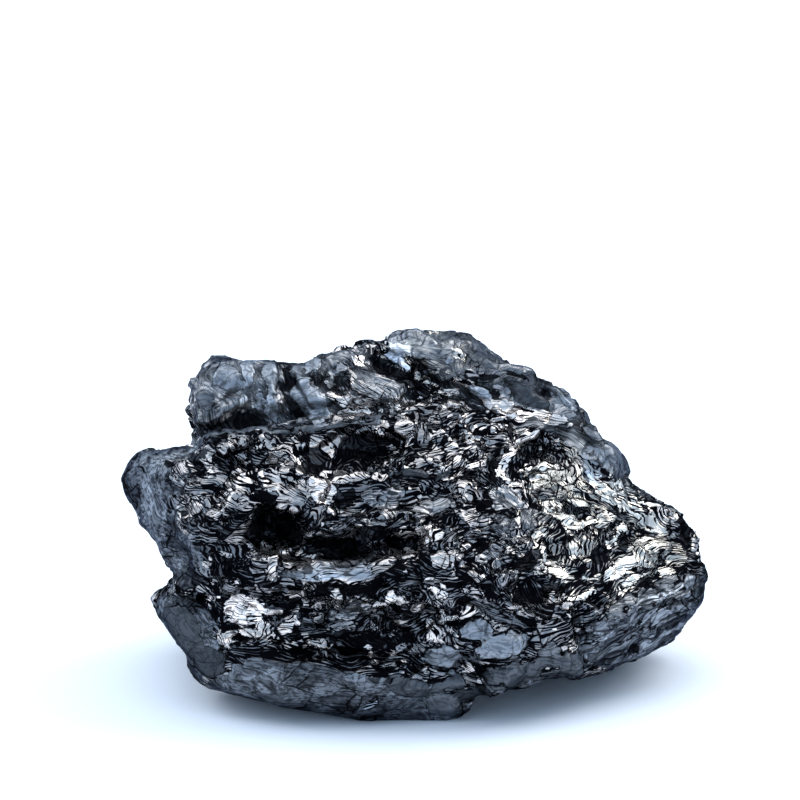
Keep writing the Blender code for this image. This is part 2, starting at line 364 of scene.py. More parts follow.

# %% Painted shade and dull places
# the same columns
# painted shade: the sockets, hollows, grooves and the places under the shelf and the crest are
# darkened where shade falls; the rows on open faces are dull black rock
SHADE_AND_DULL_SEEN = [
    (275, 529, 27, 17, 0, 1),  # deep socket
    (330, 589, 70, 7, -4, 0.8),  # under the shelf
    (372, 640, 44, 11, -8, 0.8),  # crushed hollow
    (365, 452, 32, 16, 5, 0.9),  # hollow under the crest
    (532, 591, 16, 14, 10, 1),  # small socket
]
REAR_SHADE_AND_DULL_SEEN = [
    (400, 374, 34, 9, -32, 1),  # rear groove
    (235, 421, 34, 6, 0, 0.9),  # foot of the pods
    (291, 385, 5, 22, 20, 0.9),  # between the pods
]
SHADE_AND_DULL_ADDED = [
    (-6.5, 20.2, 6.9, 0.9, 3, 1),  # groove beside the deep socket
    (13.8, 30.0, 1.2, 0.9, 0, 0.7),  # hollow of the cup
    (26.5, 10.9, 1.0, 0.8, 35, 0.9),  # pits of the flank
    (25.0, 8.2, 1.1, 0.6, 35, 0.8),
    (31.2, 20.6, 0.8, 1.6, -20, 0.7),  # dull end of the cheek
    (9.0, 39.5, 2.3, 0.7, -10, 0.9),  # dull patches of the right slope
    (12.6, 39.0, 2.2, 0.8, -30, 0.9),
    (15.8, 37.0, 1.4, 0.8, -35, 0.9),
    (19.5, 34.2, 1.2, 0.5, -50, 0.7),
    (-11.3, 29.1, 2.2, 1.0, -35, 0.85),  # between the streaks under the crest
    (-24.8, 28.9, 1.9, 1.3, -35, 0.95),
    (-18.1, 29.6, 1.7, 0.9, -40, 0.85),
    (21.8, 18.9, 1.6, 0.9, 30, 1),  # dull spots of the cheek
    (15.6, 16.0, 1.3, 0.7, 0, 0.7),
    (12.5, 19.0, 1.6, 1.2, 0, 0.6),
    (9.1, 29.0, 1.0, 1.2, 0, 0.6),  # left of the cup
    (-7.6, 25.8, 1.3, 1.3, 0, 0.7),  # between the pale plates and the middle
    (-14.4, 35.8, 0.9, 2.8, 35, 0.9),  # beside the leaf
    (-27.0, 29.0, 1.6, 1.0, -20, 0.8),  # streaks over the nose
    (-11.0, 30.2, 1.6, 0.9, -20, 0.8),  # left of the hollow under the crest
    (24.6, 19.6, 0.8, 1.2, -20, 0.9),  # gaps in the cheek's lower half
    (15.2, 19.4, 1.0, 0.8, 0, 0.8),
    (5.8, 19.0, 1.2, 1.0, 0, 0.7),
    (18.1, 9.9, 0.5, 1.6, 0, 1),  # gap left of the flank
    (-25.6, 30.4, 3.0, 0.9, 8, 0.5),  # over the nose
]
SHADE_AND_DULL = in_mm(SHADE_AND_DULL_SEEN, FRONT_SCALE) + in_mm(REAR_SHADE_AND_DULL_SEEN, REAR_SCALE) + SHADE_AND_DULL_ADDED
print("dark", len(SHADE_AND_DULL))

# %% [markdown]
# ## Swells
# The solid is built from flat cuts, so at a few edges it stands up to a millimetre
# under or over the stone's rounded outline. Each swell pushes one edge out or in,
# square to its oval's turn, and reaches round to the far side of the edge, so the
# outline moves as a whole and no ridge appears.

# %% Swells
# across, up, half-width, half-height and turn, then how far it is pushed out, in mm
SWELLS = [
    (18.2, 36.6, 7.5, 4.0, -42, 0.9),  # right slope of the rear mass
    (-27.2, 31.7, 3.4, 1.8, 16, -1.2),  # top of the nose
    (25.9, 25.5, 3.5, 2.0, -40, -0.5),  # upper edge of the cheek
    (31.8, 19.8, 2.6, 2.0, -75, 0.8),  # its right end
    (28.5, 9.5, 6.0, 2.5, 212, 0.8),  # lower edge of the flank
    (-1.5, 1.6, 9.0, 1.6, 180, 1.0),  # lower edge of the foot
]
SWELL_WRAP = 2.5


def swell(places, normals):
    """How far each place moves: each row's oval times its push, square to its turn."""
    push = np.zeros_like(places)
    for row in SWELLS:
        turn = math.radians(row[4])
        way = SIGHT_UP * math.cos(turn) - ACROSS * math.sin(turn)
        oval = patches(places, normals, [row[:5] + (1,)], SWELL_WRAP)
        push += row[5] * MM * oval[:, None] * way
    return push


print("swells:", len(SWELLS), "of at most", max(abs(row[5]) for row in SWELLS), "mm")

# %% [markdown]
# ## The crest, and the mass behind it
# A crest runs across the face, and a second, duller mass stands behind it. On the
# face the two touch along one line, while in space they are far apart. What is
# written for one must not spill on the other, so the line of the crest decides which
# of two lists a place reads.

# %% Crest line
CREST = [(-27, 31.9), (-14, 33.3), (-1.5, 34.9), (7, 35.5), (14.5, 33.4), (21.5, 28.8), (27, 24)]
CREST_SOFTNESS = 0.3  # in mm


def rear_mass(places):
    """1 over the line of the crest, on the face, and 0 under it."""
    across, up = on_face(places)
    return np.clip((up - np.interp(across, *np.array(CREST).T)) / CREST_SOFTNESS, 0, 1)


print("crest:", len(CREST), "corners, from", CREST[0], "to", CREST[-1], "mm")

# %% [markdown]
# ## Placed flakes
# Chance makes a good crowd of flakes, but the eye knows a stone by its few large
# ones: a pale plate, the bright rim of a cup, a smooth boss. These are written down
# one by one. Each row is an oval with a tone, from black to silver, and a 1 where
# the flake is smooth rather than streaked. Every point of the skin gets its depth
# inside the nearest oval, in millimetres, and the finish cuts the flake where that
# depth plus some noise is more than 0. So its edge is crisp and uneven, however far
# apart the points are.

# %% Flakes of the front mass
# across, down, half-width and half-height in pixels, turn in degrees, tone, 1 where smooth
FLAKES_SEEN = [
    # upper left
    (208, 465, 11, 4, -30, 0.75, 0), (240, 444, 14, 8, -20, 0.55, 0),
    (265, 441, 13, 5, -40, 0.68, 0), (281, 446, 12, 5, -40, 0.68, 0), (221, 449, 8, 4, -20, 0.6, 0),
    (246, 462, 6, 3, -30, 0.8, 0), (287, 465, 6, 6, 0, 0.65, 0), (300, 470, 6, 8, -10, 0.8, 0),
    (229, 497, 12, 9, 0, 0.6, 0), (213, 512, 8, 4, 0, 0.6, 0), (230, 513, 9, 4, 0, 0.6, 0),
    (220, 520, 8, 3, -5, 0.9, 0), (242, 500, 4, 5, -30, 0.75, 0), (210, 503, 8, 3, -30, 0.6, 0),
    (251, 517, 7, 2, 40, 0.7, 0), (175, 480, 10, 4, -30, 0.55, 0), (188, 478, 9, 3, -15, 0.5, 0),
    (171, 502, 9, 9, 0, 0.35, 0), (188, 525, 9, 6, -20, 0.3, 0),
    # pale plates
    (271, 481, 16, 12, -40, 0.85, 0), (292, 492, 15, 13, -20, 0.62, 0),
    (283, 507, 9, 5, 20, 0.75, 0), (320, 490, 16, 12, -5, 0.95, 0), (328, 508, 8, 5, 30, 0.7, 0),
    (326, 472, 4, 3, -30, 0.9, 0),
    # between the socket and the lobe
    (263, 552, 10, 5, 40, 0.6, 0), (273, 565, 5, 17, -12, 0.85, 0), (292, 562, 9, 6, 10, 0.8, 0),
    (300, 549, 8, 4, 10, 0.8, 0), (284, 549, 6, 5, 0, 0.85, 0), (336, 567, 36, 10, -3, 0.6, 0.2),
    (315, 561, 14, 6, 15, 0.75, 0), (332, 573, 16, 5, 0, 0.8, 0), (353, 580, 15, 4, -8, 0.85, 0),
    (208, 573, 9, 5, -20, 0.45, 0), (218, 582, 8, 3, 0, 0.6, 0), (229, 590, 9, 5, -30, 0.5, 0),
    (182, 594, 7, 4, 20, 0.65, 0), (162, 591, 6, 4, 30, 0.5, 0), (225, 557, 7, 3, -20, 0.6, 0),
    (212, 558, 3, 5, 0, 0.75, 0),
    # over the rind
    (208, 604, 4, 10, 15, 0.75, 0), (246, 613, 21, 14, -8, 1.0, 0), (288, 626, 13, 7, 30, 0.9, 0),
    (266, 633, 9, 5, 35, 0.7, 0), (274, 613, 5, 3, 0, 0.8, 0), (244, 645, 9, 4, 10, 0.5, 0),
    (231, 634, 6, 4, 20, 0.8, 0), (225, 643, 5, 8, 20, 0.8, 0), (250, 636, 8, 4, -20, 0.8, 0),
    (264, 628, 7, 4, 30, 0.85, 0), (219, 640, 4, 6, 15, 0.8, 0), (352, 612, 21, 10, 8, 0.62, 0.2),
    (335, 603, 8, 7, 0, 0.8, 0), (312, 582, 8, 7, 0, 0.65, 0), (288, 586, 9, 6, 0, 0.5, 0),
    (374, 654, 9, 3, -38, 0.85, 0), (390, 663, 11, 4, -8, 0.5, 0), (366, 707, 10, 4, 35, 0.75, 0),
    (320, 627, 7, 4, -20, 0.6, 0), (316, 619, 6, 4, 0, 0.6, 0), (394, 599, 6, 6, 0, 0.95, 0),
    # middle
    (389, 496, 14, 11, 10, 0.5, 0.2), (372, 496, 8, 7, 0, 0.5, 0.2), (385, 510, 13, 5, 15, 0.5, 0),
    (437, 508, 24, 8, 8, 0.58, 0.2), (418, 515, 8, 5, 15, 0.5, 0), (470, 493, 14, 9, -20, 0.7, 0),
    (411, 532, 17, 4, 4, 1.0, 0), (424, 539, 5, 7, 0, 0.9, 0), (437, 536, 8, 6, 0, 0.85, 0),
    (448, 535, 7, 9, 20, 0.35, 0), (377, 522, 14, 5, -5, 0.45, 0), (345, 525, 13, 6, 25, 0.4, 0),
    (482, 523, 8, 8, 0, 0.4, 0), (472, 532, 8, 3, 0, 0.5, 0), (396, 560, 14, 4, 10, 0.8, 0),
    (408, 554, 14, 7, 5, 0.65, 0),
    # right of the middle
    (442, 560, 9, 9, -30, 0.75, 0), (460, 557, 5, 4, 0, 0.7, 0), (434, 590, 12, 4, -30, 1.0, 0),
    (444, 598, 7, 5, 0, 1.0, 0), (402, 598, 5, 3, 0, 0.8, 0), (417, 605, 9, 6, 0, 0.8, 0),
    (467, 611, 7, 5, 20, 0.9, 0), (398, 615, 6, 4, 0, 0.5, 0), (430, 578, 4, 3, 0, 0.9, 0),
    (492, 554, 12, 6, 15, 0.5, 0), (504, 562, 7, 5, 20, 0.5, 0), (509, 578, 9, 9, 0, 0.5, 0),
    (473, 575, 7, 5, 0, 0.6, 0), (475, 593, 9, 5, -40, 0.7, 0), (497, 614, 38, 6, -30, 0.35, 0),
    (527, 612, 11, 5, -30, 0.5, 0), (435, 627, 10, 6, -40, 0.75, 0), (435, 640, 9, 5, -45, 0.85, 0),
    # lobe
    (181, 633, 17, 30, 28, 0.23, 0.8), (207, 664, 14, 20, 35, 0.2, 0.8),
    # smooth bosses
    (480, 631, 18, 10, 0, 0.52, 1), (500, 646, 25, 12, 10, 0.52, 1), (513, 638, 8, 8, 0, 0.5, 1),
    (442, 657, 17, 10, 0, 0.48, 1), (452, 673, 9, 3, 0, 0.55, 1), (470, 657, 9, 7, 0, 0.4, 0),
    (418, 650, 7, 6, 0, 0.45, 0), (402, 649, 6, 4, 0, 0.6, 0),
    # beside the cheek
    (502, 499, 14, 11, 10, 0.48, 0.2), (505, 523, 11, 9, 0, 0.38, 0.2),
    (530, 521, 9, 11, 0, 0.42, 0.2), (521, 502, 8, 8, 0, 0.55, 0), (500, 541, 9, 5, 0, 0.5, 0),
    (540, 537, 9, 4, 10, 0.8, 0), (557, 564, 12, 4, -12, 0.8, 0),
    # rim of the cup
    (543, 434, 9, 5, 40, 1.0, 0), (531, 441, 9, 5, 35, 1.0, 0), (518, 450, 9, 5, 48, 1.0, 0),
    (508, 461, 7, 5, 60, 1.0, 0), (504, 472, 5, 7, 0, 1.0, 0), (509, 483, 8, 5, -50, 1.0, 0),
    (519, 489, 8, 5, -20, 0.9, 0), (543, 473, 16, 4, 5, 0.95, 0), (548, 485, 10, 6, -10, 0.85, 0),
    # cheek
    (575, 450, 12, 9, -20, 0.64, 0), (592, 462, 18, 11, -35, 0.48, 0),
    (612, 474, 11, 5, -38, 0.8, 0), (612, 496, 20, 8, -35, 0.95, 0), (640, 512, 19, 7, -35, 0.9, 0),
    (632, 491, 16, 5, -38, 0.95, 0), (651, 507, 15, 5, -38, 0.95, 0),
    (668, 521, 12, 5, -42, 0.85, 0), (667, 529, 16, 7, -35, 0.75, 0),
    (577, 525, 15, 5, -15, 1.0, 0), (560, 517, 12, 5, -20, 0.8, 0), (548, 498, 17, 5, 0, 0.38, 0),
    (578, 545, 5, 13, 25, 0.75, 0), (590, 548, 5, 11, 30, 0.6, 0), (610, 526, 13, 5, 25, 0.8, 0),
    (627, 537, 14, 4, 35, 0.95, 0), (648, 560, 6, 13, -10, 0.75, 0), (660, 566, 5, 9, -20, 0.6, 0),
    (624, 572, 20, 7, 30, 1.0, 0), (636, 585, 15, 5, 38, 0.95, 0), (582, 598, 18, 4, 8, 0.95, 0),
    (600, 580, 6, 4, 30, 0.7, 0), (560, 548, 7, 7, 0, 0.5, 0),
    # flank and foot
    (622, 612, 22, 5, 30, 0.4, 0.4), (650, 600, 24, 4, 32, 0.45, 0.4),
    (676, 588, 16, 4, 38, 0.45, 0.4), (697, 585, 4, 15, -10, 0.46, 0.5),
    (668, 615, 16, 4, 30, 0.42, 0.4), (600, 630, 16, 5, 15, 0.42, 0.4),
    (648, 618, 20, 3, 33, 0.4, 0.4), (688, 603, 9, 4, 45, 0.42, 0.4),
    (592, 642, 14, 6, 10, 0.42, 0), (628, 650, 22, 4, 30, 0.34, 0.4),
    (612, 641, 18, 3, 20, 0.4, 0.4), (655, 635, 14, 3, 32, 0.38, 0.4),
    (668, 597, 16, 2.5, 35, 0.5, 0.2), (632, 618, 20, 2.5, 32, 0.48, 0.2),
    (662, 608, 22, 2.5, 34, 0.5, 0.2), (684, 596, 12, 2.5, 40, 0.5, 0.2),
    (640, 632, 18, 2.5, 30, 0.42, 0.2), (676, 610, 14, 2.5, 36, 0.46, 0.2),
    (615, 628, 16, 2.5, 28, 0.46, 0.2), (662, 624, 18, 2.5, 33, 0.44, 0.2),
    (598, 660, 16, 6, 5, 0.28, 1), (408, 686, 24, 12, -15, 0.27, 1), (441, 708, 18, 12, 5, 0.32, 1),
    (436, 690, 9, 8, 0, 0.27, 1), (455, 683, 10, 9, 20, 0.27, 1), (470, 695, 22, 6, 5, 0.16, 1),
    (494, 678, 12, 9, 10, 0.27, 1), (512, 675, 9, 14, -25, 0.3, 1), (540, 668, 24, 7, 10, 0.28, 1),
    (552, 680, 16, 4, 15, 0.3, 0),
]
print("front flakes, seen:", len(FLAKES_SEEN))

# %% Flakes of the crest and the rear mass
# the same columns
CREST_FLAKES_SEEN = [
    # streaks under the crest
    (382, 423, 6, 5, -40, 0.85, 0), (403, 427, 9, 11, -15, 0.8, 0), (411, 438, 4, 6, -20, 0.75, 0),
    (422, 428, 5, 14, 15, 0.5, 0), (387, 462, 7, 3, -40, 0.75, 0), (432, 457, 8, 3, 10, 0.8, 0),
    (452, 425, 16, 3, 25, 0.85, 0), (470, 432, 18, 3, 22, 0.8, 0), (489, 424, 16, 2.5, 15, 0.6, 0),
    (460, 445, 16, 3, 25, 0.85, 0), (482, 447, 14, 3, 20, 0.55, 0), (457, 460, 15, 4, 30, 0.95, 0),
    (474, 467, 10, 4, 25, 0.9, 0), (503, 437, 14, 2.5, 12, 0.5, 0), (522, 428, 14, 2.5, 8, 0.75, 0),
    (460, 475, 14, 3.5, 22, 0.9, 0),
    # crest strip and shelf
    (215, 437, 26, 3.6, 3, 0.3, 1), (265, 432, 28, 3.6, 6, 0.32, 1),
    (320, 425, 30, 3.2, 8, 0.27, 1), (370, 418, 24, 3, 10, 0.3, 1), (415, 475, 28, 4, 3, 0.2, 1),
]
REAR_FLAKES_SEEN = [
    # pods of the rear mass
    (227, 378, 13, 11, 0, 0.5, 1), (250, 371, 8, 17, -4, 0.6, 1), (273, 379, 7, 20, 12, 0.5, 1),
    (272, 407, 8, 15, 14, 0.65, 1), (243, 402, 7, 11, 10, 0.85, 0.3), (257, 397, 5, 10, 5, 0.7, 1),
    (311, 401, 14, 24, 37, 0.55, 1), (313, 368, 9, 9, 0, 0.5, 1), (358, 361, 6, 5, 0, 0.9, 0),
    (355, 385, 17, 4, -35, 0.7, 0), (340, 372, 8, 4, -30, 0.6, 0),
    (350, 373, 12, 2.5, -35, 0.65, 0), (370, 388, 18, 4, -38, 0.8, 0),
    (335, 396, 9, 4, -15, 0.85, 0), (345, 400, 9, 6, -10, 0.9, 0), (361, 408, 9, 5, -30, 0.85, 0),
    (350, 411, 15, 7, 10, 1.0, 0), (372, 402, 14, 5, -20, 0.9, 0), (331, 381, 5, 7, -10, 0.5, 0.5),
    (388, 395, 22, 5, -38, 0.75, 0), (353, 402, 15, 4, -25, 0.75, 0), (345, 412, 12, 4, 25, 0.8, 0),
    (395, 407, 14, 4, 8, 1.0, 0), (205, 398, 8, 9, 0, 0.35, 1), (298, 372, 8, 7, 0, 0.36, 1),
    # summit and right slope
    (425, 345, 42, 12, -14, 0.52, 0.5), (530, 398, 26, 9, -32, 0.24, 1),
    (405, 345, 18, 9, -12, 1.0, 0.6), (398, 358, 14, 5, -38, 1.0, 1),
    (422, 334, 20, 5, -8, 0.55, 0.6), (447, 343, 14, 6, -15, 0.45, 0.5),
    (435, 384, 20, 2, -25, 0.85, 0), (460, 352, 10, 5, -30, 0.7, 0), (450, 360, 6, 6, 0, 0.5, 1),
    (488, 360, 13, 7, -25, 0.3, 1), (482, 393, 14, 6, -30, 0.65, 1),
    (497, 403, 20, 6, -8, 0.9, 0.2), (468, 384, 13, 4, -18, 0.7, 0),
    (500, 391, 10, 4, -30, 0.6, 0.3), (545, 413, 16, 6, -25, 0.9, 0.2),
    (440, 372, 14, 2.5, -12, 0.75, 0), (448, 392, 12, 4, -15, 0.9, 0),
    (425, 402, 14, 2.5, 10, 0.75, 0), (460, 403, 14, 3, -5, 0.8, 0), (515, 411, 24, 6, 3, 1.0, 0),
    (550, 417, 15, 7, -30, 0.95, 0), (567, 398, 11, 5, -42, 0.5, 1), (538, 398, 14, 2, -25, 0.9, 0),
    (613, 452, 10, 12, 10, 0.4, 1), (590, 430, 12, 6, -45, 0.35, 1), (475, 372, 10, 5, 0, 0.5, 0),
]
print("crest flakes:", len(CREST_FLAKES_SEEN), "and rear flakes:", len(REAR_FLAKES_SEEN))

# %% Flakes added on the face
# the same columns, but across, up and both half-widths are in mm
FLAKES_ADDED = [
    # end and rim of the cheek, and left of the flank
    (28.5, 24.1, 1.6, 0.8, -40, 0.9, 0), (29.8, 23.2, 1.1, 0.9, -40, 0.7, 0),
    (29.4, 19.8, 1.2, 1.2, 0, 0.5, 0), (27.6, 19.4, 1.0, 1.2, 0, 0.8, 0),
    (21.0, 27.0, 1.6, 0.7, -40, 0.9, 0), (23.6, 24.3, 1.4, 0.6, -40, 0.9, 0),
    (19.2, 24.6, 1.5, 0.7, -30, 0.9, 0), (16.6, 32.2, 1.5, 0.7, -40, 0.8, 0),
    (13.0, 33.0, 1.2, 0.4, 10, 0.85, 0), (15.4, 8.0, 1.3, 1.1, 0, 0.4, 0.5),
    (17.8, 6.6, 1.2, 1.5, 0, 0.3, 0.8),
]
FLAKES = in_mm(FLAKES_SEEN, FRONT_SCALE) + in_mm(CREST_FLAKES_SEEN, CREST_SCALE) + FLAKES_ADDED
REAR_FLAKES = in_mm(REAR_FLAKES_SEEN, REAR_SCALE)
print("flakes:", len(FLAKES), "on the front and", len(REAR_FLAKES), "on the rear mass")

# %% Nearest flake
SQUARENESS = 2.4  # 2 is an oval, more is nearer to a box
LEAST_DEPTH = 0.4  # in mm, so that thin flakes keep a clear edge
LONG_FROM = 0.3  # log of the two half-widths' ratio, over which a flake has a long way


def nearest_flake(across, up, table):
    """Depth inside the nearest of the table's ovals in mm, and its row's number.

    The radius is 1 on the oval's rim: the ways along and over it, each to a power,
    added, and brought back by the root. The depth is 1 less the radius, made a length
    by the smaller half-width.
    """
    depth, owner = np.full(len(across), -1.0), np.zeros(len(across), int)
    for row, (x, v, half_width, half_height, turn, *_) in enumerate(table):
        along, over = in_oval(across, up, x, v, half_width, half_height, turn)
        radius = (np.abs(along) ** SQUARENESS + np.abs(over) ** SQUARENESS) ** (1 / SQUARENESS)
        inside = (1 - radius) * max(min(half_width, half_height), LEAST_DEPTH)
        owner[inside > depth] = row
        depth = np.maximum(depth, inside)
    return depth, owner


def flakes(places, normals):
    """Each place's depth in its flake, and the flake's tone, smoothness and long way.

    The long way is the direction of the larger half-width, and 0 for a round flake.
    """
    across, up = on_face(places)
    table = np.array(FLAKES + REAR_FLAKES)
    depth, owner = nearest_flake(across, up, FLAKES)
    rear_depth, rear_owner = nearest_flake(across, up, REAR_FLAKES)
    behind = rear_mass(places) > 0.5
    depth = np.where(behind, rear_depth, depth)
    owner = np.where(behind, rear_owner + len(FLAKES), owner)
    depth[normals @ SIGHT > 0] = -1
    long_way = np.radians(table[:, 4] + np.where(table[:, 2] > table[:, 3], 0, 90))
    run = np.outer(np.cos(long_way), ACROSS) + np.outer(np.sin(long_way), SIGHT_UP)
    long_enough = np.abs(np.log(table[:, 2] / table[:, 3])) > LONG_FROM
    run = run * long_enough[:, None]
    return depth, table[owner, 5], table[owner, 6], run[owner] * (depth > 0)[:, None]


first_middle = np.array(FLAKES[:1])[:, :2]
print("depth at the first flake's middle, mm:", nearest_flake(*first_middle.T, FLAKES)[0])

# %% [markdown]
# ## Which way the streaks run
# Each flake is split into fine parallel layers, which show as bright and dark
# streaks. They don't point anywhere at random: they sweep down from the nose, along
# the pods, across the cheek and along the ribbed flank. Soft ovals give their angle
# on the face, and between them a slow swirl takes over.

# %% Flow of the streaks
# across, up, half-width, half-height, turn, strength: where the flank has ribs
RIBBED = [(28.0, 10.0, 9.0, 5.0, 32, 1)]
RIB_ANGLE = math.radians(33)
RIB_WAY = ACROSS * math.cos(RIB_ANGLE) + SIGHT_UP * math.sin(RIB_ANGLE)
OVER_RIBS = np.cross(RIB_WAY, SIGHT)
DEFAULT_SHARE = 0.15  # of the slow swirl in the streaks' direction
LEAST_FLOW, MORE_FLOW = 0.6, 0.5  # the direction's length, and what strong ovals add to it
# across, up, half-width, half-height, turn, and the streaks' angle there
FLOW = [
    (-24.0, 27.0, 9.0, 8.0, 0, -50),  # down from the nose
    (-14.0, 38.0, 14.0, 4.0, 0, -62),  # along the pods
    (8.0, 33.0, 10.0, 3.0, 10, 22),  # along the right of the crest
    (25.5, 25.0, 9.0, 3.0, -40, -42),  # along the cheek's upper edge
    (18.5, 20.5, 3.5, 3.5, 0, 80),  # down its middle
    (25.0, 17.0, 7.0, 3.5, 35, 45),  # across its lower half
    (13.0, 28.0, 2.5, 4.0, 0, 85),  # round its cup
    (27.0, 9.0, 12.0, 4.0, 30, 33),  # along the flank
    (-8.0, 16.9, 12.0, 2.0, 4, 3),  # along the shelf
    (-10.0, 4.0, 18.0, 5.0, -3, -8),  # along the rind
    (-28.0, 9.0, 5.0, 7.0, 0, -60),
]


def flow(places, default):
    """The streaks' direction: each oval's angle on the face, and a default between them.

    An oval's share is e to the minus square of the radius in it. The shares of all
    ovals' directions are added to a little of the default. The sum is made 0.6 to 1.1
    long, and longest where the ovals are strong, so that plates turn it less there.
    """
    across, up = on_face(places)
    total = default * DEFAULT_SHARE
    for x, v, half_width, half_height, turn, angle in FLOW:
        along, over = in_oval(across, up, x, v, half_width, half_height, turn)
        share = np.exp(-(along**2 + over**2))[:, None]
        run = math.radians(angle)
        total = total + share * (ACROSS * math.cos(run) + SIGHT_UP * math.sin(run))
    strength = np.linalg.norm(total, axis=1, keepdims=True)
    return total / strength * (LEAST_FLOW + MORE_FLOW * np.clip(strength, 0, 1))


print("flow:", len(FLOW), "ovals, and ribs in", len(RIBBED))

# %% [markdown]
# ## Soften
# The remeshed skin still has the solid's hard corners and the cubes' small steps. A
# stone has neither where it has rubbed against others: on the nose, the lobe, the
# rind and the ribbed flank. A modifier would soften all of it alike. Here every
# point moves towards the mean of its neighbours by a share of its own, so the worn
# places get much softer than the broken ones. On the far sides, where no ovals are
# written, large slow ripples choose the worn places.

# %% Soften helper
def edges_of(mesh):
    """One (count, 2) array of the vertices that the mesh's edges join."""
    flat = np.empty(len(mesh.edges) * 2, np.int32)
    mesh.edges.foreach_get("vertices", flat)
    return flat.reshape(-1, 2)


def soften(values, edges, share, rounds):
    """Move each point's values towards the mean of its neighbours', by its share, each round."""
    starts, ends = np.concatenate([edges, edges[:, ::-1]]).T
    neighbours = np.bincount(starts, minlength=len(values))[:, None]
    for _ in range(rounds):
        columns = [np.bincount(starts, column[ends], len(values)) for column in values.T]
        total = np.stack(columns, axis=1)
        values = values + share[:, None] * (total / neighbours - values)
    return values


edges = edges_of(skin.data)
print("edges of the skin:", len(edges))

# %% Worn places
OBLIQUE = np.array([[0.8, 0.36, 0.48], [-0.6, 0.48, 0.64], [0, -0.8, 0.6]])  # a turn
ZONE_BENDS = (4 * MM, 1.2 * MM)  # size of the bends of a zone's border, and how far they go
WORN_WRAP = 1.5
WORN_SIZE = 20 * MM  # of the worn places on the far sides
WORN_BENDS = (8 * MM, 5 * MM)
WORN_STEEP, WORN_CUT = 4, 0.8  # how fast they begin, and how rare they are

places = read_vectors(skin.data.vertices, "co")
normals = read_vectors(skin.data.vertex_normals, "vector")
places = places + swell(places, normals)
calm = patches(wander(places, *ZONE_BENDS), normals, CALM, WORN_WRAP)
away = 1 - facing(normals, WORN_WRAP)
slow = crust(wander(places, *WORN_BENDS) @ OBLIQUE, WORN_SIZE, 90, 3)
calm = np.maximum(calm, np.clip(WORN_STEEP * slow - WORN_CUT, 0, 1) * away)
print("worn smooth:", round(100 * np.mean(calm > 0.5)), "% of the skin")

# %% Soften the skin
HALFWAY = 0.5  # how far a point moves to its neighbours' mean in one round
STEP_ROUNDS = 8  # enough to lose the cubes' steps
RUBBED_ROUNDS = 24
DUSTY_SHARE = 0.8  # of the softening of a worn place

halfway = HALFWAY * np.ones(len(places))
places = soften(places, edges, halfway, STEP_ROUNDS)
rubbed_share = np.maximum(calm, DUSTY_SHARE * patches(places, normals, DUSTY, WORN_WRAP))
softened = soften(places, edges, HALFWAY * rubbed_share, RUBBED_ROUNDS)
print("softened by up to", round(np.abs(softened - places).max() / MM, 2), "mm")
places = softened
write_places(skin.data, places)

# %% [markdown]
# ## Break the skin
# Now the real shape of the surface is cut. The skin is lifted or sunk along its
# normals: two sizes of shards where it is broken, faint ripples where it is worn,
# ribs along the flank, a small rise for each placed flake, and a hollow in each
# socket, groove and dull spot that is painted dark. The normals are softened first,
# or neighbouring points would be pushed across each other. A stone can't sink into
# what it stands on, so a point that would pass under the floor is held at its height.

# %% Zones on the skin
NORMAL_ROUNDS = 6
BRIGHT_WRAP, DUSTY_WRAP = 1.0, 1.2
DUSTY_CALM = 0.6  # how much breakage the dusty places lose
FLAKE_BENDS = (3 * MM, 0.5 * MM)

normals = read_vectors(skin.data.vertex_normals, "vector")
normals = soften(normals, edges, halfway, NORMAL_ROUNDS)
normals = normals / np.linalg.norm(normals, axis=1, keepdims=True)
bent_places = wander(places, *ZONE_BENDS)
# the mask of painted shade in the hollows, with a few dull spots, and the ribbed flank
dark, ribbed = [patches(bent_places, normals, table) for table in (SHADE_AND_DULL, RIBBED)]
bright = patches(bent_places, normals, BRIGHT, BRIGHT_WRAP)
dusty = patches(bent_places, normals, DUSTY, DUSTY_WRAP) * rear_mass(places)
dusty = np.maximum(dusty, patches(bent_places, normals, WORN_PALE))
broken = 1 - np.maximum(calm, DUSTY_CALM * dusty)
flake_places = wander(places, *FLAKE_BENDS)
flake_depth, flake_tone, flake_smooth, flake_run = flakes(flake_places, normals)
print("in a placed flake:", round(100 * np.mean(flake_depth > 0)), "% of the skin")

# %% Lift
SHARDS = [(4.4, 0.04, 0.16, 11), (2.1, 0.05, 0.20, 51)]  # size in mm, step, tilt, salt
SHARD_BENDS = (5 * MM, 1 * MM)
FLATNESS = np.array([1, 1, 1.7])  # shards lie a little flat
LAYER_FLATNESS = np.array([1, 1, 2.5])  # and the ripples of worn places more so
CRACK_DEPTH = 0.05  # of a shard's size
GRAIN_HEIGHT, GRAIN_SIZE = 0.04 * MM, 1.6 * MM  # fine crust of the broken places
WORN_HEIGHT, WORN_RIPPLE = 0.05 * MM, 2.4 * MM  # ripples of the worn ones
SOCKET_DEPTH = 0.5 * MM
BOSS_REACH = 0.5  # in mm inside a flake's edge, where its rise stops
ROUGH_RISE, SMOOTH_RISE = 0.15, 0.35  # of that reach; a smooth flake has both
RIB_HEIGHT, RIB_SPACING = 0.16 * MM, 1.5 * MM
RIB_STRETCH = np.array([5, 1, 2])  # along the ribs, over them and into the stone

